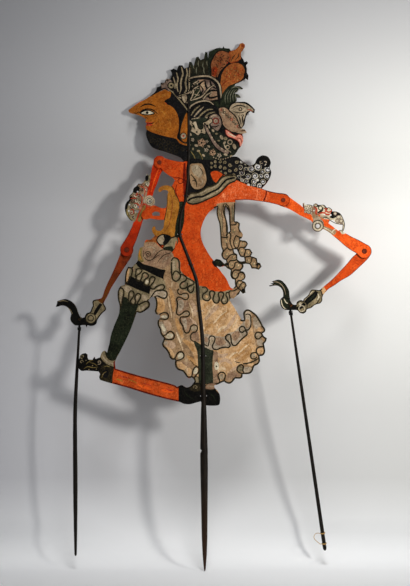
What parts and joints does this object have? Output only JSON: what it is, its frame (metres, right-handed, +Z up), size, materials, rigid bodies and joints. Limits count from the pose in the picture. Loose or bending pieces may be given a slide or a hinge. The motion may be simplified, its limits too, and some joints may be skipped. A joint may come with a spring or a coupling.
{
  "type": "shadow puppet",
  "caption": "Flat painted rawhide shadow puppet on a split horn rod, with jointed arms turning on horn pins and worked by thin rods tied to the palms",
  "frame": {"origin": "the point of the main rod, where the puppet is stuck into its stand", "axes": "+Z up along the main rod, +X to the figure's back (right in the front view), +Y away from the viewer of the painted front"},
  "size_m": [0.3953, 0.0396, 0.66],
  "materials": {
    "painted_hide": "painted and chiselled rawhide, orange-red body, ochre face, near-black details, satin",
    "orange_hide": "orange-red painted rawhide, satin",
    "horn": "near-black horn, scraped and oiled, satin",
    "black_thread": "black waxed cotton thread",
    "straw_thread": "straw-coloured twisted thread",
    "washer_hide": "plain brown hide"
  },
  "bodies": {
    "figure": {"figure_sheet": "painted_hide", "main_rod": "horn", "rod_tie_1": "black_thread", "rod_tie_2": "black_thread", "rod_tie_3": "black_thread", "rod_tie_4": "black_thread", "rod_tie_5": "black_thread", "rod_tie_6": "black_thread", "rod_tie_7": "black_thread", "rod_tie_8": "black_thread", "left_shoulder_pin": "horn", "left_shoulder_washer": "washer_hide", "right_shoulder_pin": "horn", "right_shoulder_washer": "washer_hide"},
    "left_upper_arm": {"left_upper_arm": "orange_hide", "left_elbow_pin": "horn", "left_elbow_washer": "washer_hide"},
    "left_forearm": {"left_forearm": "orange_hide"},
    "left_tie": {"left_hand_tie": "black_thread"},
    "left_rod": {"left_arm_rod": "horn", "left_rod_binding": "black_thread"},
    "right_upper_arm": {"right_upper_arm": "orange_hide", "right_elbow_pin": "horn", "right_elbow_washer": "washer_hide"},
    "right_forearm": {"right_forearm": "orange_hide"},
    "right_tie": {"right_hand_tie": "black_thread"},
    "right_rod": {"right_arm_rod": "horn", "right_rod_binding": "black_thread", "right_upper_wrap": "straw_thread", "right_lower_wrap": "straw_thread", "right_rod_thread": "straw_thread"}
  },
  "joints": [
    {"name": "left_shoulder", "type": "hinge", "parent": "figure", "child": "left_upper_arm", "pos_m": [-0.0565, 0, 0.5109], "axis": [0, 1, 0], "range_deg": [-24, 140]},
    {"name": "left_elbow", "type": "hinge", "parent": "left_upper_arm", "child": "left_forearm", "pos_m": [-0.0977, 0, 0.4013], "axis": [0, 1, 0], "range_deg": [-68, 120]},
    {"name": "left_hand_swivel", "type": "hinge", "parent": "left_forearm", "child": "left_tie", "pos_m": [-0.1569, 0, 0.3144], "axis": [0, 1, 0], "range_deg": [-70, 70]},
    {"name": "left_rod_tilt", "type": "hinge", "parent": "left_tie", "child": "left_rod", "pos_m": [-0.1569, 0.00805, 0.3144], "axis": [1, 0, 0], "range_deg": [0, 60]},
    {"name": "right_shoulder", "type": "hinge", "parent": "figure", "child": "right_upper_arm", "pos_m": [0.0981, 0, 0.4637], "axis": [0, 1, 0], "range_deg": [-120, 85]},
    {"name": "right_elbow", "type": "hinge", "parent": "right_upper_arm", "child": "right_forearm", "pos_m": [0.1996, 0, 0.3997], "axis": [0, 1, 0], "range_deg": [-130, 40]},
    {"name": "right_hand_swivel", "type": "hinge", "parent": "right_forearm", "child": "right_tie", "pos_m": [0.1062, 0, 0.3337], "axis": [0, 1, 0], "range_deg": [-70, 70]},
    {"name": "right_rod_tilt", "type": "hinge", "parent": "right_tie", "child": "right_rod", "pos_m": [0.1062, 0.00805, 0.3337], "axis": [0.9893, 0, 0.1461], "range_deg": [0, 60]}
  ]
}
